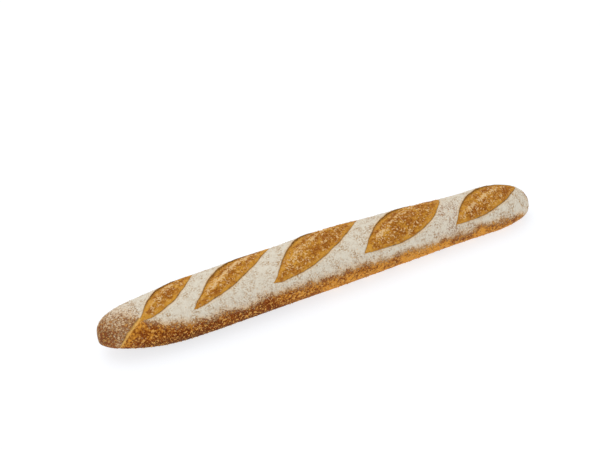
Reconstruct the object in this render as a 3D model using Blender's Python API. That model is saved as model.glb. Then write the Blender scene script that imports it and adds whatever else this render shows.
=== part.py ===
"""Baguette: one solid loaf, flat underneath, with five slanting cuts that opened in the oven.

The loaf lies along X with its slender end at -X and stands on the plane z = 0.
It is a stack of cross-sections skinned into one closed mesh. A place on the crust is named by x
and by its side: the distance from the ridge along the crust, positive towards the front (-Y).
"""

import math
from typing import NamedTuple

import bmesh
import bpy
import numpy as np

# Loaf, in metres
LENGTH = 0.500
HALF_WIDTH = 0.033
HEIGHT = 0.050
WAIST = 0.42  # height of the widest place, as a share of the height
ROUND_SIDES = 0.92  # power on the width: under 1 fills the flanks out
ROUND_TOP = 0.95  # power on the height above the waist
UNDERSIDE = 1.28  # depth below the waist, as a share of the waist's height: what passes 1 lies flat
SIDE_BOW = 0.004  # how far the middle swings to +Y past the ends
WIDTH_TAPER = 0.19  # share of the width lost towards the blunt end
HEIGHT_TAPER = 0.11
TAPER_RUN = 0.190
SLENDER_TAPER = 0.05  # share of the height lost towards the slender end
SLENDER_TAPER_RUN = 0.110

# Ends: over RUN the girth grows from nothing, and a higher FULLNESS makes the tip blunter
SLENDER_RUN = 0.122
SLENDER_FULLNESS = 2.5
SLENDER_LIFT = 0.0175
SLENDER_LIFT_RUN = 0.080
BLUNT_RUN = 0.058
BLUNT_FULLNESS = 2.5
BLUNT_LIFT = 0.0045
BLUNT_LIFT_RUN = 0.046
LIFT_CURVE = 1.6  # 1 would lift the underside in a straight line, 2 in a parabola
HEIGHT_GROWTH = 0.8  # the height grows sooner than the width


class Cut(NamedTuple):
    """One opened cut: a lens on the crust, with its middle, slant, length and two bellies."""

    x: float
    side: float
    slant_deg: float
    length: float
    front: float
    back: float
    lean: float  # under 1, the front belly sits nearer the cut's slender-end tip


CUTS = (
    Cut(-0.1760, -0.0047, 30.9, 0.081, 0.0118, 0.0134, 0.82),
    Cut(-0.1065, -0.0009, 26.6, 0.114, 0.0114, 0.0162, 0.89),
    Cut(-0.0130, +0.0005, 23.7, 0.130, 0.0166, 0.0253, 0.85),
    Cut(+0.0875, +0.0018, 25.0, 0.127, 0.0242, 0.0182, 1.07),
    Cut(+0.1885, +0.0108, 18.6, 0.098, 0.0120, 0.0220, 1.02),
)
BLUNT_TIP_POWER = 0.8  # under 1 rounds the tips of the cuts that face the blunt end
SWELL = 0.0024  # the crumb rises this much in the middle of a cut
GROOVE_DEPTH = 0.0012
GROOVE_WIDTH = 0.0030
EAR_HEIGHT = 0.0016  # lifted lip along a cut's back edge
EAR_WIDTH = 0.0060

# Crease that runs from the first cut's tip down the front of the slender end
CREASE_START_X = -0.208
CREASE_END_X = -0.236
CREASE_START_SIDE = 0.013
CREASE_END_SIDE = 0.037
CREASE_DEPTH = 0.0016
CREASE_WIDTH = 0.0030
BASE_MARGIN = 0.0030  # the relief fades out this close above the underside

# Mesh
CRUST_STEPS = 42  # round each cross-section, from one edge of the flat underside to the other
BASE_STEPS = 4  # across the flat underside
OUTLINE_POINTS = 721
BODY_RINGS = 66
TIP_RINGS = 7
TIP_RUN = 0.022


def smooth_step(t):
    """3t^2 - 2t^3, held at 0 and 1 outside its range."""
    t = np.clip(t, 0.0, 1.0)
    return t * t * (3.0 - 2.0 * t)


def end_growth(distance, run, fullness):
    """Girth at a distance from a tip: a rounded rise from 0 to 1 over the end's run."""
    t = min(max(distance / run, 0.0), 1.0)
    return (1.0 - (1.0 - t) ** 2) ** (1.0 / fullness)


def end_lift(distance, run, height):
    """How far the underside rises towards a tip."""
    return height * max(1.0 - distance / run, 0.0) ** LIFT_CURVE


def outline(x):
    """Cross-section at x as (side, y, z) arrays, with the side where the flat underside starts."""
    from_slender = x + LENGTH / 2
    from_blunt = LENGTH / 2 - x
    growth = end_growth(from_slender, SLENDER_RUN, SLENDER_FULLNESS)
    growth *= end_growth(from_blunt, BLUNT_RUN, BLUNT_FULLNESS)
    taper = float(smooth_step(x / TAPER_RUN))
    half_width = HALF_WIDTH * growth * (1.0 - WIDTH_TAPER * taper)
    slender_taper = float(smooth_step(-x / SLENDER_TAPER_RUN))
    height = HEIGHT * growth**HEIGHT_GROWTH * (1.0 - HEIGHT_TAPER * taper - SLENDER_TAPER * slender_taper)
    middle = SIDE_BOW * (1.0 / 3.0 - (2.0 * x / LENGTH) ** 2)
    lift = end_lift(from_slender, SLENDER_LIFT_RUN, SLENDER_LIFT)
    lift += end_lift(from_blunt, BLUNT_LIFT_RUN, BLUNT_LIFT)

    turn = np.linspace(-math.pi, math.pi, OUTLINE_POINTS)
    across, up = np.sin(turn), np.cos(turn)
    waist = WAIST * height
    y = middle - half_width * np.sign(across) * np.abs(across) ** ROUND_SIDES
    above = waist + (height - waist) * np.abs(up) ** ROUND_TOP
    below = waist - UNDERSIDE * waist * np.abs(up)
    z = np.maximum(np.where(up > 0.0, above, below), 0.0) + lift

    steps = np.hypot(np.diff(y), np.diff(z))
    side = np.concatenate([[0.0], np.cumsum(steps)])
    side -= side[OUTLINE_POINTS // 2]
    base_edge = np.interp(math.acos(-1.0 / UNDERSIDE), turn, side)
    return side, y, z, base_edge


def lens(t):
    """A cut's belly along its length: t (1 - t)^p, pointed at 0, rounder at 1 and at most 1 high."""
    t = np.clip(t, 0.0, 1.0)
    fullest = 1.0 / (1.0 + BLUNT_TIP_POWER)
    return t * (1.0 - t) ** BLUNT_TIP_POWER / (fullest * (1.0 - fullest) ** BLUNT_TIP_POWER)


def cut_relief(cut, x, side):
    """Height that one cut adds to the crust: a swollen lens, a groove round it and an ear behind."""
    slant = math.radians(cut.slant_deg)
    dx, ds = x - cut.x, side - cut.side
    t = (dx * math.cos(slant) - ds * math.sin(slant)) / cut.length + 0.5
    across = dx * math.sin(slant) + ds * math.cos(slant)
    front = cut.front * lens(np.clip(t, 0.0, 1.0) ** cut.lean)
    back = cut.back * lens(np.clip(t, 0.0, 1.0) ** (1.0 / cut.lean))
    edge = np.where(across > 0.0, front, back)
    past_edge = np.abs(across) - edge
    fade = lens(t)
    inside = (past_edge < 0.0) & (edge > 0.0)
    swell = np.where(inside, 1.0 - (across / np.maximum(edge, 1e-6)) ** 2, 0.0)
    groove = np.exp(-((past_edge / GROOVE_WIDTH) ** 2))
    ear = np.where((across < 0.0) & ~inside, np.exp(-np.abs(past_edge) / EAR_WIDTH), 0.0)
    return fade * (SWELL * swell - GROOVE_DEPTH * groove + EAR_HEIGHT * ear)


def crease_relief(x, side):
    """Depth of the crease: a groove along a straight line on the slender end's crust."""
    run = CREASE_END_X - CREASE_START_X
    fall = CREASE_END_SIDE - CREASE_START_SIDE
    length = math.hypot(run, fall)
    dx, ds = x - CREASE_START_X, side - CREASE_START_SIDE
    t = (dx * run + ds * fall) / length**2
    off = (dx * fall - ds * run) / length
    return -CREASE_DEPTH * lens(t) * np.exp(-((off / CREASE_WIDTH) ** 2))


def ring(x):
    """The cross-section's mesh points: even along the crust, and fewer across the underside."""
    side, y, z, base_edge = outline(x)
    crust = np.linspace(-base_edge, base_edge, CRUST_STEPS, endpoint=False)
    base = np.linspace(base_edge, 2 * side[-1] - base_edge, BASE_STEPS, endpoint=False)
    wanted = np.concatenate([crust, np.where(base > side[-1], base - 2 * side[-1], base)])
    ring_y = np.interp(wanted, side, y)
    on_base = np.abs(wanted) >= base_edge
    ring_z = np.where(on_base, z.min(), np.interp(wanted, side, z))
    tangent_y = np.interp(wanted, side, np.gradient(y, side))
    tangent_z = np.interp(wanted, side, np.gradient(z, side))
    relief = crease_relief(x, wanted) + sum(cut_relief(cut, x, wanted) for cut in CUTS)
    relief *= smooth_step((ring_z - z.min()) / BASE_MARGIN)
    ring_y -= relief * -tangent_z
    ring_z += relief * -tangent_y
    return [(x, float(py), float(pz)) for py, pz in zip(ring_y, ring_z)]


def stations():
    """Where the cross-sections stand: closing up towards each tip, even between."""
    tips = [TIP_RUN * ((i + 1) / TIP_RINGS) ** 2 for i in range(TIP_RINGS)]
    body = np.linspace(TIP_RUN, LENGTH - TIP_RUN, BODY_RINGS)[1:-1]
    ends = [LENGTH - distance for distance in reversed(tips)]
    return [distance - LENGTH / 2 for distance in [*tips, *body, *ends]]


def tip(x):
    """The point where the crust closes."""
    _, y, z, _ = outline(x)
    return (x, float(y[0]), float(z[0]))


def skin(bm, rings, first_tip, last_tip):
    """Join neighbouring rings with triangles whose diagonals run with the cuts, and close the tips."""
    for ring_a, ring_b in zip(rings, rings[1:]):
        for i in range(len(ring_a)):
            j = (i + 1) % len(ring_a)
            bm.faces.new((ring_a[i], ring_b[i], ring_a[j]))
            bm.faces.new((ring_b[i], ring_b[j], ring_a[j]))
    for i in range(len(rings[0])):
        j = (i + 1) % len(rings[0])
        bm.faces.new((first_tip, rings[0][i], rings[0][j]))
        bm.faces.new((last_tip, rings[-1][j], rings[-1][i]))


def centre_across(bm):
    """Put the middle of the loaf's width on y = 0."""
    across = [vert.co.y for vert in bm.verts]
    offset = (min(across) + max(across)) / 2
    bmesh.ops.translate(bm, verts=bm.verts, vec=(0.0, -offset, 0.0))


def crust_material():
    """Floured golden crust, matt and not metallic."""
    material = bpy.data.materials.new("crust")
    material.use_nodes = True
    shader = material.node_tree.nodes["Principled BSDF"]
    shader.inputs["Base Color"].default_value = (0.46, 0.27, 0.11, 1.0)
    shader.inputs["Roughness"].default_value = 0.8
    shader.inputs["Metallic"].default_value = 0.0
    return material


def make_loaf():
    """The loaf as one closed mesh object."""
    bm = bmesh.new()
    rings = [[bm.verts.new(point) for point in ring(x)] for x in stations()]
    first_tip = bm.verts.new(tip(-LENGTH / 2))
    last_tip = bm.verts.new(tip(LENGTH / 2))
    skin(bm, rings, first_tip, last_tip)
    bmesh.ops.recalc_face_normals(bm, faces=bm.faces)
    centre_across(bm)
    mesh = bpy.data.meshes.new("loaf")
    bm.to_mesh(mesh)
    bm.free()
    mesh.shade_smooth()
    mesh.set_sharp_from_angle(angle=math.radians(40.0))
    mesh.materials.append(crust_material())
    loaf = bpy.data.objects.new("loaf", mesh)
    bpy.context.scene.collection.objects.link(loaf)


def clear_scene():
    """Remove every object, so that only the loaf is left."""
    for obj in list(bpy.data.objects):
        bpy.data.objects.remove(obj, do_unlink=True)


clear_scene()
make_loaf()
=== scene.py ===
"""Baguette: the looks of one floured loaf with five opened cuts, made round its packed solid.

The loaf lies along X with its slender end at -X. A place on the crust is (x, turn), where turn goes
round the loaf from 0 on the ridge to pi under it, positive towards the front (-Y). The side of a
place is its distance from the ridge along the crust, with the same sign. All sizes are in metres.
"""

import itertools
import math
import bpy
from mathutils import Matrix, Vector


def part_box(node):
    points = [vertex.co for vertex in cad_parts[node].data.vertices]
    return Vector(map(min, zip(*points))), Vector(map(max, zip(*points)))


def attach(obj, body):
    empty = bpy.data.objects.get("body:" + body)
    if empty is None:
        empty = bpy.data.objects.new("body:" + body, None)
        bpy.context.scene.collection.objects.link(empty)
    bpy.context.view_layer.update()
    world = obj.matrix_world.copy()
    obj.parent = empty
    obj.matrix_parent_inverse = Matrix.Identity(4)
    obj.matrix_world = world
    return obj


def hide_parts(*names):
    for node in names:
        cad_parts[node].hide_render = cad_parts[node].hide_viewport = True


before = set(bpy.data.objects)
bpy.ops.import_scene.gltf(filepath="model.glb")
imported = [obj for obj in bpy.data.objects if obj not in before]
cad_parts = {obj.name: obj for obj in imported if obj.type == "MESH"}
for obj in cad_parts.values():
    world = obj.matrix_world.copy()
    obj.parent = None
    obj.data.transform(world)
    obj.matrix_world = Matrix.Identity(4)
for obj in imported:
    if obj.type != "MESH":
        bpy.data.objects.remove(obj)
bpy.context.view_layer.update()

from types import SimpleNamespace
from typing import NamedTuple

import bpy
import numpy as np
from bpy.props import FloatProperty, FloatVectorProperty, IntProperty, PointerProperty
from bpy.types import Operator, Panel, PropertyGroup
from mathutils import Vector

bl_info = {
    "name": "Baguette",
    "version": (1, 0, 0),
    "blender": (4, 5, 0),
    "location": "3D View > Sidebar > Baguette",
    "description": "Makes a floured baguette, its loose grains and a plain stage",
    "category": "Add Mesh",
}

LOAF_LOW, LOAF_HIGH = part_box("loaf")
MM = 0.001
CUT_COUNT = 5


# ---------------------------------------------------------------- sizes and colours


def length(name, description, default):
    """A length that a user may change."""
    return FloatProperty(
        name=name, description=description, default=default, unit="LENGTH", precision=4
    )


def share(name, description, default):
    """A number without a unit that a user may change."""
    return FloatProperty(name=name, description=description, default=default, precision=3)


def per_cut(name, description, default, unit="LENGTH"):
    """One number for each of the five cuts, from the slender end to the blunt end."""
    return FloatVectorProperty(
        name=name, description=description, size=CUT_COUNT, default=default, unit=unit, precision=4
    )


def colour(name, description, red, green, blue):
    """A colour given by its screen values from 0 to 255, kept as linear light."""
    linear = [((v / 255 + 0.055) / 1.055) ** 2.4 for v in (red, green, blue)]
    return FloatVectorProperty(
        name=name,
        description=description,
        size=3,
        default=linear,
        subtype="COLOR",
        min=0.0,
        max=1.0,
    )


class BaguetteLoaf(PropertyGroup):
    """Sizes of the loaf without its cuts."""

    length: length("Length", "From tip to tip", LOAF_HIGH.x - LOAF_LOW.x)
    half_width: length("Half width", "Half the width at the middle", 0.033)
    height: length("Height", "Height at the middle, without the cuts", 0.050)
    bow: length("Bow", "How far the middle swings to the back", 0.004)
    waist: share("Waist", "Height of the widest place, as a share of the height", 0.42)
    underside: share("Underside", "Depth below the waist; what passes 1 lies flat", 1.28)
    width_taper: share("Width taper", "Share of the width lost towards the blunt end", 0.19)
    height_taper: share("Height taper", "Share of the height lost towards the blunt end", 0.11)
    taper_run: length("Taper run", "Length over which the loaf tapers", 0.190)
    slender_taper: share("Slender taper", "Share of the height lost towards the slender end", 0.05)
    slender_taper_run: length("Slender taper run", "Length over which that height is lost", 0.110)
    slender_run: length("Slender run", "Length over which the slender end grows", 0.122)
    slender_fullness: share("Slender fullness", "How blunt the slender tip is", 2.5)
    slender_lift: length("Slender lift", "Height of the slender tip's underside", 0.0175)
    slender_lift_run: length("Slender lift run", "Length over which it lifts", 0.080)
    blunt_run: length("Blunt run", "Length over which the blunt end grows", 0.058)
    blunt_fullness: share("Blunt fullness", "How blunt the blunt tip is", 2.5)
    blunt_lift: length("Blunt lift", "Height of the blunt tip's underside", 0.0045)
    blunt_lift_run: length("Blunt lift run", "Length over which it lifts", 0.046)
    base_round: length("Base rounding", "Rounding of the underside's edges", 0.003)
    lumps: length("Lumps", "Height of the loaf's slow unevenness", 0.0003)


class BaguetteCuts(PropertyGroup):
    """Places and sizes of the five cuts, and the relief that they share."""

    middle: per_cut("Middles", "Place along the loaf", (-0.176, -0.1065, -0.013, 0.0875, 0.1885))
    side: per_cut("Sides", "Distance from the ridge", (-0.0047, -0.0009, 0.0005, 0.0018, 0.0108))
    slant: per_cut("Slants", "Angle to the loaf", (0.539, 0.464, 0.414, 0.436, 0.325), "ROTATION")
    run: per_cut("Lengths", "From tip to tip", (0.081, 0.114, 0.130, 0.127, 0.098))
    front: per_cut("Front bellies", "Width before the middle", (0.0118, 0.0114, 0.0166, 0.0242, 0.012))
    back: per_cut("Back bellies", "Width behind the middle", (0.0134, 0.0162, 0.0253, 0.0182, 0.022))
    lean: per_cut("Leans", "Under 1 moves the front belly forward", (0.82, 0.89, 0.85, 1.07, 1.02), "NONE")
    swell: length("Swell", "Rise of the crumb in the middle of a cut", 0.0017)
    tuck: length("Tuck", "Depth of the crumb where it passes under the lip", 0.0016)
    ear: length("Ear", "Rise of the crust along a cut's back edge", 0.0015)
    ridge: per_cut("Ridges", "Strength of the torn ridge in a cut", (0.6, 1.0, 0.6, 0.6, 0.9), "NONE")
    ridge_height: length("Ridge height", "Rise of the strongest torn ridge", 0.0012)
    torn: length("Torn crumb", "Height of the torn crumb's roughness", 0.0009)


class BaguetteCrust(PropertyGroup):
    """Colours of the baked crust, the crumb in the cuts and the flour."""

    flour: colour("Flour", "Flour on the crust", 236, 229, 212)
    golden: colour("Golden crumb", "Smooth margin of a cut", 218, 158, 60)
    amber: colour("Amber crumb", "Baked middle of a cut", 198, 132, 46)
    cream: colour("Cream crumb", "Palest torn specks", 238, 202, 148)
    flank: colour("Flank", "Crust low on the blunt half", 228, 156, 58)
    russet: colour("Russet", "Darker crust low on the slender half", 136, 64, 8)
    toast: colour("Toast", "Darkest crust", 92, 46, 8)
    rim: colour("Rims", "Browned line along a cut's outline", 152, 104, 42)
    dusty: colour("Thin flour", "Flour that the crust shows through", 188, 156, 116)
    fleck: colour("Flecks", "Pale flecks on the flanks", 234, 176, 92)
    # pale crumb along the fold, brightened by a painted highlight
    seam: colour("Seam", "Crumb that shows along the fold", 250, 200, 112)


class BaguetteGrains(PropertyGroup):
    """Loose grains of coarse flour."""

    count: IntProperty(name="Grains", description="How many", default=9000, min=1)
    small: length("Smallest", "Smallest grain", 0.0004)
    large: length("Largest", "Largest grain", 0.0015)


class BaguetteStage(PropertyGroup):
    """Floor, light and camera."""

    floor: colour("Floor", "Plain pale floor", 160, 162, 166)
    glow: share("Glow", "Light that the floor gives, which softens the shadow", 0.73)
    distance: length("Distance", "From the camera to the loaf", 1.0)
    azimuth: FloatProperty(
        name="Azimuth", description="Camera's turn", default=math.radians(-26.0), unit="ROTATION"
    )
    elevation: FloatProperty(
        name="Elevation", description="Camera's height", default=math.radians(43.0), unit="ROTATION"
    )
    lens: share("Lens", "Focal length in millimetres", 56.9)
    sky: share("Sky", "Brightness of the light from all round", 0.75)
    key: share("Key light", "Watts of the large lamp overhead", 5.5)


# ---------------------------------------------------------------- arithmetic on arrays


def smooth(t, low=0.0, high=1.0):
    """0 below low and 1 above high, with 3t^2 - 2t^3 between them."""
    t = np.clip((t - low) / (high - low), 0.0, 1.0)
    return t * t * (3.0 - 2.0 * t)


def bell(t, width):
    """exp(-(t / width)^2)."""
    return np.exp(-((t / width) ** 2))


def scatter(cells, seed):
    """A fixed random number from 0 to 1 for each whole-number cell, by mixing its coordinates."""
    mixed = cells[..., 0] * 374761393 + cells[..., 1] * 668265263
    mixed = (mixed + cells[..., 2] * 1440662683 + seed * 1274126177) & 0xFFFFFFFF
    mixed = ((mixed ^ (mixed >> 13)) * 1274126177) & 0xFFFFFFFF
    return ((mixed ^ (mixed >> 16)) & 0xFFFFFF) / 0xFFFFFF


def noise(points, cell, seed):
    """Smooth noise from -1 to 1: random values at lattice corners, blended across each cell."""
    scaled = points / cell
    corner = np.floor(scaled).astype(np.int64)
    blend = smooth(scaled - corner)
    total = np.zeros(points.shape[:-1])
    for step in itertools.product((0, 1), repeat=3):
        weight = np.prod(np.where(step, blend, 1.0 - blend), axis=-1)
        total += weight * scatter(corner + np.array(step), seed)
    return 2.0 * total - 1.0


def rough(points, cell, layers, seed):
    """Sum of noises, each at half the cell and 0.55 of the height of the one before."""
    return sum(0.55**i * noise(points, cell / 2**i, seed + i) for i in range(layers))


def blisters(points, cell, radius, seed):
    """Round domes 1 - (d / r)^2, one in each lattice cell, with a random place and radius."""
    home = np.floor(points / cell).astype(np.int64)
    height = np.zeros(points.shape[:-1])
    for step in itertools.product((-1, 0, 1), repeat=3):
        cells = home + np.array(step)
        place = np.stack([scatter(cells, seed + k) for k in range(3)], axis=-1)
        size = radius * (0.35 + 0.65 * scatter(cells, seed + 3))
        distance = np.linalg.norm(points - (cells + place) * cell, axis=-1)
        height = np.maximum(height, size / radius * (1.0 - (distance / size) ** 2))
    return height


# ---------------------------------------------------------------- the loaf's crust


class Cut(NamedTuple):
    """One opened cut: a lens on the crust."""

    middle: float
    side: float
    slant: float
    run: float
    front: float
    back: float
    lean: float
    ridge: float

    TIP_POWER = 0.8  # under 1 rounds the tips that face the blunt end
    LENS_SCALE = (1.0 + TIP_POWER) / (TIP_POWER / (1.0 + TIP_POWER)) ** TIP_POWER
    RIDGE_PLACE = 0.32  # how far back the torn ridge lies, as a share of the back belly
    RIDGE_WIDTH = 2.4 * MM

    def belly(self, t, front):
        """Half width at t along the cut: t (1 - t)^0.8, scaled to a highest value of 1 and then by
        the belly's width, with t first raised to the lean."""
        t = np.clip(t, 0.0, 1.0)
        leaned = np.where(front, t**self.lean, t ** (1.0 / self.lean))
        lens = self.LENS_SCALE * leaned * (1.0 - leaned) ** self.TIP_POWER
        return np.where(front, self.front, self.back) * lens

    def crest(self, t, across):
        """Torn ridge along the cut: a bell across its line, faded towards both tips."""
        line = -self.RIDGE_PLACE * self.belly(t, False)
        faded = smooth(t, 0.04, 0.3) * smooth(1.0 - t, 0.1, 0.35)
        return self.ridge * bell(across - line, self.RIDGE_WIDTH) * faded

    def measure(self, x, side):
        """(t, across, opening) of a place: t runs from 0 to 1 along the cut, across is the distance
        from its middle line, positive to the front, and the opening is the distance inside the
        outline, negative outside it."""
        dx, ds = x - self.middle, side - self.side
        t = (dx * math.cos(self.slant) - ds * math.sin(self.slant)) / self.run + 0.5
        across = dx * math.sin(self.slant) + ds * math.cos(self.slant)
        front = across > 0.0
        edge = self.belly(t, front)
        step = 0.01
        slope = (self.belly(t + step, front) - self.belly(t - step, front)) / (2 * step * self.run)
        inside = (edge - np.abs(across)) / np.sqrt(1.0 + slope**2)
        past_tip = np.maximum(np.abs(t - 0.5) - 0.5, 0.0) * self.run
        return t, across, np.where(past_tip > 0.0, -np.hypot(past_tip, across), inside)


class Marks(NamedTuple):
    """What the crust's relief and its colours need to know about each place."""

    opening: np.ndarray  # distance inside the nearest cut's outline, negative outside
    middle: np.ndarray  # 0 on a cut's outline to 1 on its middle line
    fade: np.ndarray  # 0 at a cut's tips to 1 at its middle
    front: np.ndarray  # whether the place lies on the front half of the nearest cut
    crest: np.ndarray  # strength of the torn ridge along a cut's middle
    fold: np.ndarray  # distance from the fold in the slender end, negative on the tip's side
    fold_fade: np.ndarray  # 0 at the fold's ends to 1 along it


class Crust:
    """The loaf's surface as a function of x and turn, worked out on whole arrays."""

    TURNS = 721  # samples of the turn from the ridge to the underside's middle
    STATIONS = 801  # samples of the girth along the loaf
    FOLD_POINTS = 48

    ROUND_SIDES = 0.92  # power on the width: under 1 fills the flanks out
    ROUND_TOP = 0.95  # power on the height above the waist
    HEIGHT_GROWTH = 0.8  # the height grows sooner than the width
    LIFT_CURVE = 1.6  # 1 would lift the underside in a straight line, 2 in a parabola

    SWELL_POWER = 2.2  # over 1 makes the swollen middle of a cut flatter
    TUCK_REACH = 2.2 * MM  # how far into a cut its groove reaches
    EAR_REACH = 6 * MM  # how far over the crust the lifted lip reaches
    MARGIN = (2.0 * MM, 5.5 * MM)  # where a cut's smooth margin turns into torn crumb

    FOLD_START = (-0.207, 0.012)  # x and side where the fold leaves the first cut
    FOLD_REACH = (-0.028, 0.026)  # from there to the fold's end
    LIP_HEIGHT, LIP_REACH = 1.2 * MM, 5 * MM  # the crust on the tip's side of the fold
    SEAM_DEPTH, SEAM_WIDTH = 0.4 * MM, 0.9 * MM
    HOLLOW_DEPTH, HOLLOW_REACH = 0.7 * MM, 7 * MM  # the crust on the fold's other side

    ROUGH_HEIGHT = 0.16 * MM
    BLISTER_HEIGHT, BLISTER_RADIUS = 0.22 * MM, 2 * MM

    def __init__(self, scene):
        self.loaf = scene.baguette_loaf
        self.relief_sizes = scene.baguette_cuts
        columns = [getattr(self.relief_sizes, name) for name in Cut._fields]
        self.cuts = [Cut(*row) for row in zip(*columns)]
        self.turns = np.linspace(0.0, math.pi, self.TURNS)
        self.shares = self.arc(self.section(0.0, self.turns))
        self.shares = self.shares / self.shares[-1]
        half = self.loaf.length / 2
        self.stations = np.linspace(-half, half, self.STATIONS)
        sections = self.section(self.stations[:, None], self.turns[None, ::4])
        self.half_rounds = self.arc(sections)[:, -1]

    @staticmethod
    def arc(points):
        """Running length along the last row of points, seen along X."""
        steps = np.linalg.norm(np.diff(points[..., 1:], axis=-2), axis=-1)
        return np.concatenate([np.zeros_like(steps[..., :1]), np.cumsum(steps, axis=-1)], axis=-1)

    @staticmethod
    def grown(distance, run, fullness):
        """Girth near a tip: (1 - (1 - t)^2)^(1 / fullness), with t the distance over the run."""
        t = np.clip(distance / run, 0.0, 1.0)
        return (1.0 - (1.0 - t) ** 2) ** (1.0 / fullness)

    def section(self, x, turn):
        """Plain crust point. The half width and the height are sizes times tapers and a power of the
        girth. y is the bow less the half width times a power of sin(turn). z rises from the waist
        with a power of cos(turn) or falls with cos(turn), is softly clamped to a flat underside and
        is lifted at both tips."""
        loaf = self.loaf
        from_slender = x + loaf.length / 2
        from_blunt = loaf.length / 2 - x
        growth = self.grown(from_slender, loaf.slender_run, loaf.slender_fullness)
        growth = growth * self.grown(from_blunt, loaf.blunt_run, loaf.blunt_fullness)
        taper = smooth(x / loaf.taper_run)
        half_width = loaf.half_width * growth * (1.0 - loaf.width_taper * taper)
        slender_taper = loaf.slender_taper * smooth(-x / loaf.slender_taper_run)
        tapered = 1.0 - loaf.height_taper * taper - slender_taper
        height = loaf.height * growth**self.HEIGHT_GROWTH * tapered
        across, up = np.sin(turn), np.cos(turn)
        waist = loaf.waist * height
        y = loaf.bow * (1.0 / 3.0 - (2.0 * x / loaf.length) ** 2)
        y = y - half_width * np.sign(across) * np.abs(across) ** self.ROUND_SIDES
        above = waist + (height - waist) * np.abs(up) ** self.ROUND_TOP
        z = np.where(up > 0.0, above, waist * (1.0 - loaf.underside * np.abs(up)))
        rounding = loaf.base_round * growth
        lowest = waist * (1.0 - loaf.underside)
        z = 0.5 * (z + np.hypot(z, rounding) - lowest - np.hypot(lowest, rounding))
        slender_lift = np.maximum(1.0 - from_slender / loaf.slender_lift_run, 0.0) ** self.LIFT_CURVE
        blunt_lift = np.maximum(1.0 - from_blunt / loaf.blunt_lift_run, 0.0) ** self.LIFT_CURVE
        z = z + loaf.slender_lift * slender_lift + loaf.blunt_lift * blunt_lift
        return np.stack(np.broadcast_arrays(x, y, z), axis=-1)

    def side(self, x, turn):
        """Distance from the ridge along the crust: the middle section's arc, scaled to girth."""
        reach = np.interp(np.abs(turn), self.turns, self.shares)
        return np.sign(turn) * reach * np.interp(x, self.stations, self.half_rounds)

    def turn(self, x, side):
        """The turn at a side: the inverse of side()."""
        reach = np.abs(side) / np.interp(x, self.stations, self.half_rounds)
        return np.sign(side) * np.interp(reach, self.shares, self.turns)

    def mirrored(self):
        """Signed shares and turns, for looking up a turn on either side of the ridge."""
        shares = np.concatenate([-self.shares[:0:-1], self.shares])
        return shares, np.concatenate([-self.turns[:0:-1], self.turns])

    def normal(self, x, turn):
        """Outward unit normal: the cross product of two small steps on the surface."""
        step = 1e-5
        half = self.loaf.length / 2 - step
        before = self.section(np.clip(x, -half, half) - step, turn)
        after = self.section(np.clip(x, -half, half) + step, turn)
        round_it = self.section(x, turn + 1e-4) - self.section(x, turn - 1e-4)
        normal = np.cross(round_it, after - before)
        return normal / np.maximum(np.linalg.norm(normal, axis=-1, keepdims=True), 1e-12)

    def fold(self, x, side):
        """(signed distance, q) from the nearest point of the fold, a curve that leaves along the loaf
        and bends down its front, with q from 0 to 1 along it. The tip's side is negative."""
        q = np.linspace(0.0, 1.0, self.FOLD_POINTS)
        fold_x = self.FOLD_START[0] + self.FOLD_REACH[0] * (1.0 - (1.0 - q) ** 1.5)
        fold_side = self.FOLD_START[1] + self.FOLD_REACH[1] * q**1.15
        dx, ds = x[..., None] - fold_x, side[..., None] - fold_side
        away = np.hypot(dx, ds)
        nearest = np.argmin(away, axis=-1)
        along_x, along_side = np.gradient(fold_x)[nearest], np.gradient(fold_side)[nearest]
        dx, ds = (np.take_along_axis(d, nearest[..., None], axis=-1)[..., 0] for d in (dx, ds))
        sign = np.where(dx * along_side - ds * along_x > 0.0, 1.0, -1.0)
        return sign * away.min(axis=-1), q[nearest]

    @staticmethod
    def waver(points, seed):
        """A small wandering of the outlines: a slow noise and a quick one."""
        return 0.7 * MM * noise(points, 9 * MM, seed) + 0.25 * MM * noise(points, 3 * MM, seed + 1)

    def marks(self, x, side, points):
        """Where each place lies against the cuts and the fold, with outlines that waver a little."""
        x = x + self.waver(points, 11)
        side = side + self.waver(points, 13)
        t, across, opening = zip(*[cut.measure(x, side) for cut in self.cuts])
        nearest = np.argmax(opening, axis=0)[None]

        def of_nearest(values):
            """Of one value for each cut, the nearest cut's."""
            return np.take_along_axis(np.stack(values), nearest, axis=0)[0]

        t, across, opening = of_nearest(t), of_nearest(across), of_nearest(opening)
        belly = of_nearest([cut.belly(t, across > 0.0) for cut in self.cuts])
        middle = np.clip(1.0 - np.abs(across) / np.maximum(belly, 1e-6), 0.0, 1.0)
        fade = (4.0 * np.clip(t, 0.0, 1.0) * (1.0 - np.clip(t, 0.0, 1.0))) ** 0.8
        wander = across + 1.6 * MM * noise(points, 8 * MM, 15)
        crest = of_nearest([cut.crest(t, wander) for cut in self.cuts])
        crest = crest * (0.75 + 0.5 * noise(points, 5 * MM, 16))
        fold, q = self.fold(x, side)
        fold_fade = smooth(q, 0.0, 0.12) * (1.0 - smooth(q, 0.9, 1.0))
        inside = opening > 0.0
        return Marks(opening, middle * inside, fade, across > 0.0, crest * inside, fold, fold_fade)

    @staticmethod
    def torn(points):
        """Roughness of torn crumb, about -1 to 1: three noises and a scatter of domes."""
        return rough(points, 3.4 * MM, 3, 21) + 0.9 * blisters(points, 4.2 * MM, 2.4 * MM, 31) - 0.4

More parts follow.
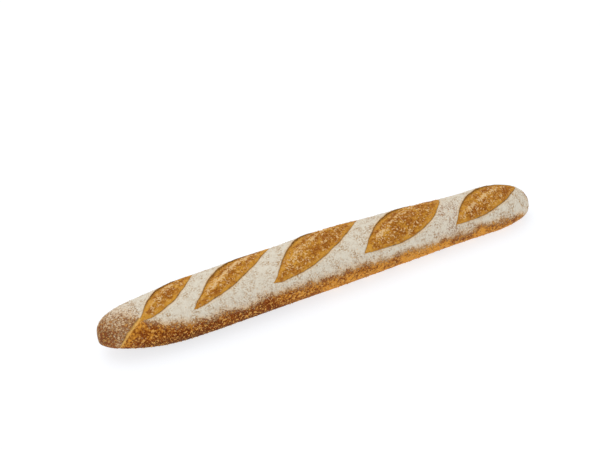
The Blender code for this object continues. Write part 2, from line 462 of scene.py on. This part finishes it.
    def relief(self, points, marks):
        """Height over the plain crust: cuts, fold, blisters and slow unevenness added up. Inside a
        cut a dome rises to its middle, less a groove that dies away from the outline, plus the torn
        crumb. Outside it a lip dies away behind the cut, and a slight dip runs before it."""
        sizes = self.relief_sizes
        inside = marks.opening > 0.0
        off = np.abs(marks.opening)
        back = ~marks.front
        dome = sizes.swell * (1.0 - (1.0 - marks.middle) ** self.SWELL_POWER)
        tuck = np.where(back, sizes.tuck, 0.5 * sizes.tuck) * np.exp(-off / self.TUCK_REACH)
        centre = smooth(marks.opening, *self.MARGIN)
        crumb = dome - tuck + sizes.torn * self.torn(points) * (0.12 + 0.88 * centre)
        crumb = crumb + sizes.ridge_height * marks.crest
        dip = -0.5 * sizes.tuck * bell(off, 1.5 * MM)
        ear = np.where(back, sizes.ear * np.exp(-off / self.EAR_REACH), dip)
        cut = marks.fade * np.where(inside, crumb, ear)

        lip = self.LIP_HEIGHT * np.exp(marks.fold / self.LIP_REACH) * (marks.fold < 0.0)
        seam = self.SEAM_DEPTH * bell(marks.fold - 0.2 * MM, self.SEAM_WIDTH)
        hollow = self.HOLLOW_DEPTH * np.exp(-np.abs(marks.fold) / self.HOLLOW_REACH) * (marks.fold > 0.0)
        fold = marks.fold_fade * (lip - seam - hollow)

        skin = self.ROUGH_HEIGHT * rough(points, 4 * MM, 3, 41)
        skin = skin + self.BLISTER_HEIGHT * blisters(points, 5 * MM, self.BLISTER_RADIUS, 51)
        skin = skin * np.where(inside, 1.0 - marks.fade, 1.0)
        lumps = self.loaf.lumps * (noise(points, 70 * MM, 61) + 0.6 * noise(points, 28 * MM, 62))
        return cut + fold + skin + lumps

    def skin(self, x, turn):
        """(points, normals, marks) of the finished crust at (x, turn): each plain point is moved
        along its normal by the relief, which fades out near the floor."""
        x, turn = np.broadcast_arrays(x, turn)
        points = self.section(x, turn)
        normals = self.normal(x, turn)
        marks = self.marks(x, self.side(x, turn), points)
        height = self.relief(points, marks)
        raised = points + normals * height[..., None]
        lift = smooth(points[..., 2], 0.0, 2.5 * MM)
        raised = points + (raised - points) * lift[..., None]
        raised[..., 2] = np.maximum(raised[..., 2], 0.0)
        return raised, normals, marks


# ---------------------------------------------------------------- meshes


def put_mesh(name, points, triangles, attributes):
    """A smooth-shaded object at the origin, from whole arrays, with numbers kept on its points."""
    mesh = bpy.data.meshes.new(name)
    mesh.vertices.add(len(points))
    mesh.vertices.foreach_set("co", points.astype(np.float32).ravel())
    mesh.loops.add(triangles.size)
    mesh.loops.foreach_set("vertex_index", triangles.astype(np.int32).ravel())
    mesh.polygons.add(len(triangles))
    mesh.polygons.foreach_set("loop_start", np.arange(0, triangles.size, 3, dtype=np.int32))
    mesh.update(calc_edges=True)
    mesh.shade_smooth()
    for key, values in attributes.items():
        layer = mesh.attributes.new(key, "FLOAT", "POINT")
        layer.data.foreach_set("value", values.astype(np.float32).ravel())
    mesh.validate()
    piece = bpy.data.objects.new(name, mesh)
    bpy.context.scene.collection.objects.link(piece)
    return piece


def tube_triangles(rows, columns, flip):
    """Triangles of a closed tube of rows: each quad is cut along its flip diagonal or the other."""
    row = np.arange(rows - 1)[:, None] * columns
    here = np.arange(columns)[None, :]
    following = (here + 1) % columns
    a, b = row + here, row + columns + here
    c, d = row + columns + following, row + following
    first = np.where(flip[..., None], np.stack([a, b, d], -1), np.stack([a, b, c], -1))
    second = np.where(flip[..., None], np.stack([b, c, d], -1), np.stack([a, c, d], -1))
    return np.concatenate([first.reshape(-1, 3), second.reshape(-1, 3)])


def tip_triangles(tip, ring):
    """A fan that closes a ring on its tip."""
    return np.stack([np.full(len(ring), tip), ring, np.roll(ring, -1)], axis=-1)


# ---------------------------------------------------------------- shader arithmetic


class Signal:
    """A node's output as a value in Python expressions: each operation adds its Math node."""

    def __init__(self, graph, socket):
        self.graph = graph
        self.socket = socket

    def math(self, operation, *values):
        """A Math node of that operation, fed by the values in order."""
        settings = {"operation": operation}
        return self.graph.node("ShaderNodeMath", settings, dict(enumerate(values)))

    def __add__(self, other):
        return self.math("ADD", self, other)

    def __sub__(self, other):
        return self.math("SUBTRACT", self, other)

    def __rsub__(self, other):
        return self.math("SUBTRACT", other, self)

    def __mul__(self, other):
        return self.math("MULTIPLY", self, other)

    def __abs__(self):
        return self.math("ABSOLUTE", self)

    __radd__ = __add__
    __rmul__ = __mul__

    def step(self, low, high):
        """0 below low, 1 above high and smooth between them."""
        inputs = {"Value": self, "From Min": low, "From Max": high}
        return self.graph.node("ShaderNodeMapRange", {"interpolation_type": "SMOOTHSTEP"}, inputs)


class Graph:
    """A material and the nodes that feed its Principled shader."""

    def __init__(self, name):
        self.material = bpy.data.materials.new(name)
        self.material.use_nodes = True
        self.tree = self.material.node_tree
        self.shader = self.tree.nodes["Principled BSDF"]

    def node(self, kind, settings=None, inputs=None, output=0):
        """Add a node: its settings first, then its sockets' values or links. Returns one output."""
        made = self.tree.nodes.new(kind)
        for name, value in (settings or {}).items():
            setattr(made, name, value)
        for key, value in (inputs or {}).items():
            self.feed(self.find(made.inputs, key), value)
        return Signal(self, self.find(made.outputs, output))

    @staticmethod
    def find(sockets, key):
        """A socket by its number, its identifier or its name."""
        if isinstance(key, int):
            return sockets[key]
        matches = [socket for socket in sockets if socket.identifier == key]
        return matches[0] if matches else sockets[key]

    def feed(self, socket, value):
        """Link a signal to a socket, or set the socket to a value."""
        if isinstance(value, Signal):
            self.tree.links.new(value.socket, socket)
        elif socket.type == "RGBA":
            socket.default_value = (*tuple(value)[:3], 1.0)
        else:
            socket.default_value = value

    def attribute(self, name):
        """A number kept on the mesh's points."""
        return self.node("ShaderNodeAttribute", {"attribute_name": name}, output="Fac")

    def speckle(self, grain, detail=2.0, roughness=0.55, place=None):
        """Noise from 0 to 1 in object space, with features about a grain across."""
        place = place or self.place()
        inputs = {"Vector": place, "Scale": 1.0 / grain, "Detail": detail, "Roughness": roughness}
        return self.node("ShaderNodeTexNoise", None, inputs, "Fac")

    def along_cuts(self):
        """Object coordinates squeezed along the cuts' slant, which draws a speckle out along it."""
        inputs = {"Vector": self.place(), "Rotation": (0.0, 0.0, 0.44), "Scale": (2.4, 1.0, 1.0)}
        return self.node("ShaderNodeMapping", {"vector_type": "TEXTURE"}, inputs)

    def place(self):
        """Object coordinates."""
        return self.node("ShaderNodeTexCoord", output="Object")

    def mix(self, amount, first, second):
        """The first colour where the amount is 0, and the second where it is 1."""
        inputs = {"Factor_Float": amount, "A_Color": first, "B_Color": second}
        return self.node("ShaderNodeMix", {"data_type": "RGBA"}, inputs, "Result_Color")

    def bump(self, height, depth):
        """A normal bent by a height from 0 to 1, as if it were that deep."""
        return self.node("ShaderNodeBump", None, {"Height": height, "Distance": depth})

    def finish(self, **inputs):
        """Feed the shader's sockets, by names with _ for a space, and return the material."""
        for name, value in inputs.items():
            self.feed(self.shader.inputs[name.replace("_", " ")], value)
        return self.material


# ---------------------------------------------------------------- materials


def crust_signals(g):
    """All that the crust's colours depend on: the numbers kept on its mesh, with its two lengths in
    millimetres, and speckles from fine to wide."""
    shares = ("dusting", "bake", "bare", "low", "pepper", "rim", "torn", "crest")
    return SimpleNamespace(
        **{name: g.attribute(name) for name in shares},
        opening=g.attribute("opening") * (1.0 / MM),
        fold=g.attribute("fold") * (1.0 / MM),
        fine=g.speckle(1.1 * MM, 2.0, 0.6),
        dots=g.speckle(1.6 * MM, 0.0),
        flecks=g.speckle(2.3 * MM, 1.0),
        small=g.speckle(2.4 * MM),
        streaks=g.speckle(2.4 * MM, 2.0, 0.6, g.along_cuts()),
        specks=g.speckle(2.8 * MM, 1.0),
        wide=g.speckle(9 * MM),
    )


def baked_colour(g, look, on):
    """Crust without flour: the flank's colour, amber beside the fold, darkened by the bake and, low
    down, by painted shade towards the floor, with toasted and pale specks, and thin flour over them."""
    # painted shade towards the floor, joined to the bake: it deepens the colour and the toasted specks and
    # thins the pale ones
    low_shade_and_bake = on.low * on.bake
    depth = on.bake + on.dusting * 0.7 + low_shade_and_bake * 0.8
    depth = depth + (on.wide - 0.5) * 1.2 + (on.small - 0.5) * 2.2
    baked = g.mix(on.bare * (on.small * 4.0 - 1.4), look.flank, look.amber)
    baked = g.mix(depth.step(-0.05, 0.85), baked, look.russet)
    toasted = on.small * 0.5 + on.fine * 0.5 + on.bake * 0.09 + low_shade_and_bake * 0.12
    baked = g.mix(toasted.step(0.54, 0.66) * (on.bake * 0.55 + 0.28), baked, look.toast)
    pale = on.specks * 0.7 + on.fine * 0.3 - low_shade_and_bake * 0.05 - on.bare * 0.03
    baked = g.mix(pale.step(0.56, 0.61) * (0.95 - on.dusting * 0.6), baked, look.fleck)
    return g.mix(on.dusting.step(0.2, 0.8) * 0.28, baked, look.dusty)


def flour_cover(on):
    """How much of the crust the flour hides: the dusting with a wide ragged edge."""
    ragged = (on.fine - 0.5) * 2.2 + (on.small - 0.5) * 2.6 - (on.wide - 0.5)
    cover = on.dusting * 2.6 - 1.1 + ragged
    return cover.step(0.0, 0.8) * on.dusting.step(0.1, 0.3)


def floured_colour(g, look, on, cover):
    """Crust under flour that is mottled, browner where it is thin, and pricked with pin-holes."""
    mottle = (on.dots - 0.5) * (on.wide * 10.0 - 3.8) + (on.wide - 0.5) * 1.2 + 0.2
    powder = g.mix(mottle, look.flour, look.dusty)
    powder = g.mix((1.0 - on.dusting.step(0.35, 0.95)) * 0.75, powder, look.fleck)
    skin = g.mix(cover * 0.95, baked_colour(g, look, on), powder)
    holes = on.fine * 0.6 + on.dots * 0.25 + on.wide * 0.15 + on.pepper * 0.04
    return g.mix(holes.step(0.53, 0.6) * on.pepper * 0.55, skin, look.russet)


def crumb_colour(g, look, on):
    """Crumb in a cut: golden margin, amber middle, painted shade in its hollows and pits, and pale
    torn crests with a painted highlight.
    """
    inward = on.opening + (on.small - 0.5) * 10.0 + (on.wide - 0.5) * 12.0
    centre = inward.step(1.0, 7.5) * 0.8 + 0.2
    crumb = g.mix((on.fine - 0.5) * 2.0 + (on.wide - 0.5) * 3.0 + 0.25, look.golden, look.amber)
    amber = (on.small - 0.5) * 2.0 + (on.wide - 0.5) * 2.5 + 0.55
    crumb = g.mix(centre * amber, crumb, look.amber)
    # painted shade: russet patches in the crumb's hollows, deeper where the torn crumb is low and away
    # from its ridge
    hollow = on.streaks * 0.4 + on.fine * 0.2 + on.small * 0.1 + on.wide * 0.3
    hollow = hollow - on.torn * 0.06 - on.crest * 0.16
    crumb = g.mix(centre * hollow.step(0.4, 0.64) * 0.7, crumb, look.russet)
    # painted shade: dark specks in the crumb's pits
    pit_shade = on.fine * 0.5 + on.dots * 0.5 - on.crest * 0.05
    crumb = g.mix(centre * pit_shade.step(0.52, 0.64) * 0.4, crumb, look.toast)
    # pale torn crumb, with a painted highlight where the torn crumb and its ridge stand high
    pale = (on.streaks - on.dots) * 0.25 - on.flecks * 0.5 - on.fine * 0.25
    pale = pale + on.torn * 0.05 + on.crest * 0.2
    return g.mix(centre * pale.step(-0.36, -0.26) * 0.85, crumb, look.cream)


def crust_material(look):
    """Floured crust with crumb in its cuts. Each cut's outline has a thin browned line with warm
    flour beside it, and the fold has a pale ragged seam, brightened by a painted highlight, with a
    russet line on the tip's side."""
    g = Graph("baked_crust")
    on = crust_signals(g)
    cover = flour_cover(on)
    skin = floured_colour(g, look, on, cover)
    beside = (1.0 - abs(on.opening + 1.2).step(0.3, 1.6)) * on.rim
    skin = g.mix(beside * 0.45, skin, look.cream)
    surface = g.mix(on.opening.step(-0.1, 0.25), skin, crumb_colour(g, look, on))
    line = (1.0 - abs(on.opening).step(0.15, 0.95)) * on.rim
    surface = g.mix(line * 0.85, surface, look.rim)
    # pale crumb in the fold's seam, made brighter by a painted highlight
    seam = 1.0 - abs(on.fold - 1.0 + (on.small - 0.5) * 1.4).step(0.4, 2.2)
    surface = g.mix(seam * 0.9, surface, look.seam)
    tip_side = 1.0 - abs(on.fold + 1.0).step(0.3, 1.2)
    surface = g.mix(tip_side * 0.45, surface, look.russet)
    return g.finish(
        Base_Color=surface,
        Roughness=cover * 0.25 + 0.65,
        Normal=g.bump(cover * 0.4 + on.fine * 0.7 + on.small * 0.7, 1.2 * MM),
        Specular_IOR_Level=0.06,
    )


def grain_material(look):
    """Coarse flour: pale grains where much flour lies, browned ones where there is little."""
    g = Graph("coarse_flour")
    tone = g.attribute("tone")
    browned = g.mix(tone.step(0.7, 1.7), look.fleck, look.flour)
    mottled = g.mix(g.speckle(0.4 * MM).step(0.5, 0.7) * 0.4, browned, look.golden)
    return g.finish(Base_Color=mottled, Roughness=0.85, Specular_IOR_Level=0.2)


def floor_material(look):
    """A matt pale floor with a faint cloudiness."""
    g = Graph("pale_floor")
    cloud = g.speckle(0.6, 1.0)
    tint = g.mix(cloud.step(0.3, 0.7) * 0.02, look.floor, (0.9, 0.9, 0.9))
    return g.finish(
        Base_Color=tint,
        Roughness=0.9,
        Specular_IOR_Level=0.1,
        Emission_Color=(0.965, 0.98, 1.0),
        Emission_Strength=look.glow,
    )


# ---------------------------------------------------------------- pieces


FLOUR_LIMIT = 41.2 * MM  # side at the middle of the band where the flour fades out
BACK_LIMIT = 4 * MM  # how much further down the back it lies
FLOUR_FADE = (15 * MM, 13 * MM)  # reach of that band above and below its middle
PEPPER_PATCHES = (  # x, side, reach along and round the loaf, and strength
    (0.142, 0.012, 0.026, 0.024, 1.0),  # between the fourth cut and the fifth
    (0.060, -0.006, 0.016, 0.014, 0.9),  # between the third and the fourth
    (-0.225, -0.004, 0.018, 0.016, 0.7),  # on top of the slender tip
)


def bare(marks):
    """Smooth unfloured zone beside the fold: 1 from 1 mm to 6 mm off it, gone at 14 mm."""
    near = smooth(marks.fold, 0.0, 1.0 * MM) * (1.0 - smooth(marks.fold, 6 * MM, 14 * MM))
    return near * marks.fold_fade


def pepper(x, side, marks, points):
    """Where the flour is full of pin-holes: bells about the patches and along the flour's front
    edge, made uneven by noise, with a few holes everywhere but none within 1.5 mm of a cut."""
    holes = 0.35 * bell(side - 32 * MM, 8 * MM) * smooth(x, -0.16, -0.10)
    for patch_x, patch_side, reach_x, reach_side, strength in PEPPER_PATCHES:
        holes = holes + strength * bell(x - patch_x, reach_x) * bell(side - patch_side, reach_side)
    holes = holes * (0.8 + 0.5 * noise(points, 10 * MM, 74)) + 0.06
    return np.clip(holes, 0.0, 1.0) * (marks.opening < -1.5 * MM)


def dusting(x, side, marks, points):
    """How much flour lies at each place: full on top, thinning out down the flanks and on the tip.

    It fades over a band about a limit, which is a distance from the ridge. The limit nears the
    ridge at the slender end and a little towards the blunt end, dips at two places, lies further
    down the back than the front, and wanders with noise. The slender tip has its own thinner
    flour, thinner still towards its very end as painted shade, and on the blunt tip's face it is
    worn away.
    """
    slender = np.clip((-x - 0.138) / 0.095, 0.0, 1.0) * np.where(side < 0.0, 0.6, 1.0)
    limit = FLOUR_LIMIT * (1.0 - slender**2) + 2.5 * MM * smooth(x, -0.12, 0.04)
    limit = limit - 2 * MM * smooth(x, 0.08, 0.20) - 4 * MM * smooth(x, 0.20, 0.235)
    limit = limit - 2.5 * MM * bell(x + 0.155, 0.03) - 5 * MM * bell(x - 0.171, 0.009)
    limit = np.where(side < 0.0, limit + BACK_LIMIT, limit)
    limit = limit + 2.2 * MM * noise(points, 26 * MM, 71) + 1.6 * MM * noise(points, 9 * MM, 73)
    amount = 1.0 - smooth(np.abs(side), limit - FLOUR_FADE[0], limit + FLOUR_FADE[1])
    amount = amount * (0.98 - 0.08 * bell(x - 0.143, 0.024) + 0.10 * noise(points, 12 * MM, 72))
    tip = 1.0 - smooth(x, -0.226, -0.196)
    # painted shade: the flour thins towards the slender tip's very end, which darkens it
    on_tip = (0.78 - 0.22 * smooth(side, -0.016, 0.022)) * (0.7 + 0.3 * smooth(x, -0.250, -0.226))
    amount = amount * (1.0 - tip) + tip * on_tip * (1.0 - smooth(np.abs(side), 0.030, 0.048))
    worn = smooth(x + 5 * MM * noise(points, 7 * MM, 75), 0.236, 0.252)
    amount = amount * (1.0 - bare(marks)) * (1.0 - 0.75 * worn)
    return amount * (marks.opening < 0.0) * (points[..., 2] > 1 * MM)


def bake(x, side, marks, points):
    """How dark the crust is baked: darkest low on the slender half and at the tips, paler beside
    the fold, and uneven by noise."""
    slender = 1.0 - smooth(x, -0.18, 0.04)
    low = smooth(np.abs(side), 0.030, 0.052)
    amount = 0.14 + 0.90 * slender * low + 0.20 * slender
    amount = amount + 0.6 * smooth(np.abs(x), 0.232, 0.249) + 0.15 * (1.0 - smooth(x, -0.236, -0.21))
    amount = amount * (1.0 - 0.65 * bare(marks))
    return np.clip(amount + 0.30 * noise(points, 16 * MM, 81), 0.0, 1.2)


class BAGUETTE_OT_crust(Operator):
    """Make the loaf's crust: one closed surface with opened cuts, a folded end and blisters"""

    bl_idname = "baguette.crust"
    bl_label = "Crust"

    ROWS = 560
    CRUST_STEPS = 160  # points round each row, down to the underside
    BASE_STEPS = 14  # points across the underside
    BASE_MARGIN = 0.06  # turn from the underside's edge to where the sparse points begin
    SNAP_REACH = 0.55 * MM  # places nearer than this to an outline are moved onto it
    SNAP_PAST = 0.03 * MM  # and this far past it, so that they count as outside
    SNAP_SIDE = 60 * MM  # but none further from the ridge than this
    LEAST_SLOPE = 0.3  # squared slope of the opening below which a move grows no more

    def grid(self, crust):
        """(x, turn) of the rows and columns: rows even along the loaf's profile, and columns even
        along the crust and sparse underneath."""
        half = crust.loaf.length / 2
        x = half * np.sin(np.linspace(-math.pi / 2, math.pi / 2, 4001))
        profile = np.interp(x, crust.stations, crust.half_rounds) / math.pi
        run = np.concatenate([[0.0], np.cumsum(np.hypot(np.diff(x), np.diff(profile)))])
        rows = np.interp(np.linspace(0.0, run[-1], self.ROWS + 2)[1:-1], run, x)
        edge = math.acos(-1.0 / crust.loaf.underside) + self.BASE_MARGIN
        reach = np.interp(edge, crust.turns, crust.shares)
        over = np.interp(np.linspace(-reach, reach, self.CRUST_STEPS, endpoint=False), *crust.mirrored())
        inward = np.linspace(reach, 1.0, self.BASE_STEPS // 2, endpoint=False)
        outward = np.linspace(1.0, reach, self.BASE_STEPS // 2, endpoint=False)
        front = np.interp(inward, crust.shares, crust.turns)
        back = -np.interp(outward, crust.shares, crust.turns)
        return rows[:, None], np.concatenate([over, front, back])[None, :]

    def snapped(self, crust, x, turn):
        """Move the places nearest a cut's outline onto it, so that its edge is crisp: each goes down
        the slope of the opening by the opening over the slope squared."""
        side = crust.side(x, turn)
        x, turn, side = np.broadcast_arrays(x, turn, side)
        opening = crust.marks(x, side, crust.section(x, turn)).opening
        by_row, by_column = np.gradient(opening)
        along = by_row / np.gradient(x, axis=0)
        across = by_column / np.gradient(side, axis=1)
        steepness = np.maximum(along**2 + across**2, self.LEAST_SLOPE)
        close = (np.abs(opening) < self.SNAP_REACH) & (np.abs(side) < self.SNAP_SIDE)
        shift = np.where(close, (opening + self.SNAP_PAST) / steepness, 0.0)
        moved = crust.turn(x - shift * along, side - shift * across)
        return np.where(close, x - shift * along, x), np.where(close, moved, turn)

    @staticmethod
    def triangles(opening):
        """A tube closed by two tips, whose quads are cut along the diagonal that follows a cut's
        outline best: the one with the smaller change of the opening."""
        rows, columns = opening.shape
        following = np.roll(opening, -1, axis=1)
        flip = np.abs(opening[1:] - following[:-1]) < np.abs(opening[:-1] - following[1:])
        first_ring = np.arange(columns)
        last_ring = first_ring[::-1] + (rows - 1) * columns
        tube = tube_triangles(rows, columns, flip)
        slender_tip = tip_triangles(rows * columns, first_ring)
        blunt_tip = tip_triangles(rows * columns + 1, last_ring)
        return np.concatenate([tube, slender_tip, blunt_tip])

    @staticmethod
    def values(crust, x, turn, points, marks):
        """The numbers that the crust's material reads, kept on the points and then on both tips."""
        side = crust.side(x, turn)
        values = {
            "opening": marks.opening,
            "pepper": pepper(x, side, marks, points),
            "fold": np.where(marks.fold_fade > 0.1, marks.fold, 1.0),
            "dusting": dusting(x, side, marks, points),
            "bake": bake(x, side, marks, points),
            "bare": bare(marks),
            "crest": marks.crest,
            "rim": marks.fade * np.where(marks.front, 0.75, 1.0),
            # painted shade: 1 up to 3 mm above the floor and 0 from 17 mm, which darkens the crust low
            # down
            "low": 1.0 - smooth(points[..., 2], 3 * MM, 17 * MM),
            "torn": crust.torn(points),
        }
        for key, value in values.items():
            values[key] = np.append(value.ravel(), [value[0, 0], value[-1, 0]])
        return values

    def execute(self, context):
        crust = Crust(context.scene)
        x, turn = self.snapped(crust, *self.grid(crust))
        points, _, marks = crust.skin(x, turn)
        half = crust.loaf.length / 2
        tips = crust.section(np.array([-half, half]), np.zeros(2))
        points_and_tips = np.concatenate([points.reshape(-1, 3), tips])
        values = self.values(crust, x, turn, points, marks)
        piece = put_mesh("crust", points_and_tips, self.triangles(marks.opening), values)
        piece.data.materials.append(crust_material(context.scene.baguette_crust))
        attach(piece, "root")
        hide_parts("loaf")
        return {"FINISHED"}


class BAGUETTE_OT_grains(Operator):
    """Scatter loose grains of coarse flour over the crust as one joined mesh"""

    bl_idname = "baguette.grains"
    bl_label = "Loose grains"

    SEED = 5
    TRIES = 4  # places tried for each grain wanted
    ALONG = (-0.244, 0.244)  # x where grains may lie
    ROUND = (-0.058, 0.066)  # and side
    THICKEST = (0.046, 0.014)  # side of the densest band of grains, and its width
    CORNERS = np.kron(np.eye(3), [[1], [-1]])  # +X, -X, +Y, -Y, +Z and -Z
    WAIST = np.array([0, 2, 1, 3])  # the corners round Z, in order

    def places(self, crust, rng, count):
        """(points, normals, flour) of random places on the crust: each place that is tried is kept
        with a chance that is highest low on the front of the slender half, and none lie under the
        loaf or on the margin of a cut."""
        tries = count * self.TRIES
        x = rng.uniform(*self.ALONG, tries)
        side = rng.uniform(*self.ROUND, tries)
        points, normals, marks = crust.skin(x, crust.turn(x, side))
        band_side, band_width = self.THICKEST
        chance = 0.25 + 0.75 * bell(side - band_side, band_width) * (1.0 - 0.6 * smooth(x, -0.05, 0.12))
        in_cut = 0.7 * smooth(marks.opening, 1 * MM, 5 * MM)
        chance = chance * np.where(marks.opening > 0.0, in_cut, 1.0)
        reach = np.interp(x, crust.stations, crust.half_rounds)
        chance = chance * (np.abs(side) < 0.8 * reach) * (points[:, 2] > 3 * MM)
        kept = np.flatnonzero(rng.uniform(size=tries) < chance)[:count]
        return points[kept], normals[kept], dusting(x, side, marks, points)[kept]

    def grains(self, rng, size):
        """(corners, triangles) of grains about the origin: octahedra with uneven arms, each turned
        at random and scaled to its size."""
        spin = np.linalg.qr(rng.normal(size=(len(size), 3, 3)))[0]
        spin *= np.sign(np.linalg.det(spin))[:, None, None]
        uneven = self.CORNERS * rng.uniform(0.55, 1.0, (len(size), 6, 1))
        corners = np.einsum("nij,nkj->nki", spin, uneven) * size[:, None, None] * 0.5
        faces = np.concatenate([tip_triangles(4, self.WAIST), tip_triangles(5, self.WAIST[::-1])])
        return corners, faces + 6 * np.arange(len(size))[:, None, None]

    def execute(self, context):
        sizes = context.scene.baguette_grains
        rng = np.random.default_rng(self.SEED)
        points, normals, flour = self.places(Crust(context.scene), rng, sizes.count)
        size = sizes.small + (sizes.large - sizes.small) * rng.uniform(size=len(points)) ** 3
        corners, triangles = self.grains(rng, size)
        sunk = points + normals * size[:, None] * 0.25
        corners = (corners + sunk[:, None]).reshape(-1, 3)
        tone = np.repeat(rng.uniform(size=len(points)) + flour, 6)
        piece = put_mesh("flour_grains", corners, triangles.reshape(-1, 3), {"tone": tone})
        piece.data.materials.append(grain_material(context.scene.baguette_crust))
        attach(piece, "root")
        return {"FINISHED"}


class BAGUETTE_OT_stage(Operator):
    """Make the pale floor, the soft studio light and the camera"""

    bl_idname = "baguette.stage"
    bl_label = "Stage"

    FLOOR_SIZE = 12.0
    FLOOR_DROP = 0.1 * MM  # keeps the floor just under the loaf
    LAMP_PLACE = Vector((-0.25, 0.40, 1.30))
    LAMP_SIZE = 1.2
    TARGET = Vector((0.0, 0.0, 0.025))
    SHIFT = (-0.0471, 0.0548)

    def execute(self, context):
        look = context.scene.baguette_stage
        plan = np.array([[-1, -1], [1, -1], [1, 1], [-1, 1]]) * self.FLOOR_SIZE / 2
        corners = np.column_stack([plan, np.full(4, -self.FLOOR_DROP)])
        floor = put_mesh("floor", corners, np.array([[0, 1, 2], [0, 2, 3]]), {})
        floor.data.materials.append(floor_material(look))

        world = bpy.data.worlds.new("studio")
        world.use_nodes = True
        background = world.node_tree.nodes["Background"]
        background.inputs["Color"].default_value = (1.0, 1.0, 1.0, 1.0)
        background.inputs["Strength"].default_value = look.sky
        context.scene.world = world

        lamp = bpy.data.lights.new("overhead", "AREA")
        lamp.size = self.LAMP_SIZE
        lamp.energy = look.key
        overhead = bpy.data.objects.new("overhead", lamp)
        overhead.location = self.LAMP_PLACE
        overhead.rotation_euler = (self.TARGET - self.LAMP_PLACE).to_track_quat("-Z", "Y").to_euler()
        context.scene.collection.objects.link(overhead)

        lens = bpy.data.cameras.new("camera")
        lens.lens = look.lens
        lens.shift_x, lens.shift_y = self.SHIFT
        lens.clip_end = 50.0
        camera = bpy.data.objects.new("camera", lens)
        flat = math.cos(look.elevation)
        outward = Vector((math.sin(look.azimuth) * flat, -math.cos(look.azimuth) * flat, 0.0))
        outward.z = math.sin(look.elevation)
        camera.location = self.TARGET + look.distance * outward
        camera.rotation_euler = (-outward).to_track_quat("-Z", "Y").to_euler()
        context.scene.collection.objects.link(camera)
        context.scene.camera = camera
        context.scene.view_settings.view_transform = "Standard"
        return {"FINISHED"}


class BAGUETTE_PT_panel(Panel):
    """The baguette's operators and sizes"""

    bl_idname = "BAGUETTE_PT_panel"
    bl_label = "Baguette"
    bl_space_type = "VIEW_3D"
    bl_region_type = "UI"
    bl_category = "Baguette"

    def draw(self, context):
        for operator in OPERATORS:
            self.layout.operator(operator.bl_idname)
        for name, group in GROUPS.items():
            box = self.layout.box()
            box.label(text=group.__doc__)
            for key in group.__annotations__:
                box.prop(getattr(context.scene, name), key)


GROUPS = {
    "baguette_loaf": BaguetteLoaf,
    "baguette_cuts": BaguetteCuts,
    "baguette_crust": BaguetteCrust,
    "baguette_grains": BaguetteGrains,
    "baguette_stage": BaguetteStage,
}
OPERATORS = (BAGUETTE_OT_crust, BAGUETTE_OT_grains, BAGUETTE_OT_stage)


def register():
    for name, group in GROUPS.items():
        bpy.utils.register_class(group)
        setattr(bpy.types.Scene, name, PointerProperty(type=group))
    for cls in (*OPERATORS, BAGUETTE_PT_panel):
        bpy.utils.register_class(cls)


def unregister():
    for cls in (BAGUETTE_PT_panel, *reversed(OPERATORS)):
        bpy.utils.unregister_class(cls)
    for name, group in reversed(GROUPS.items()):
        delattr(bpy.types.Scene, name)
        bpy.utils.unregister_class(group)


def main():
    register()
    bpy.ops.baguette.crust()
    bpy.ops.baguette.grains()
    bpy.ops.baguette.stage()


if __name__ == "__main__":
    main()
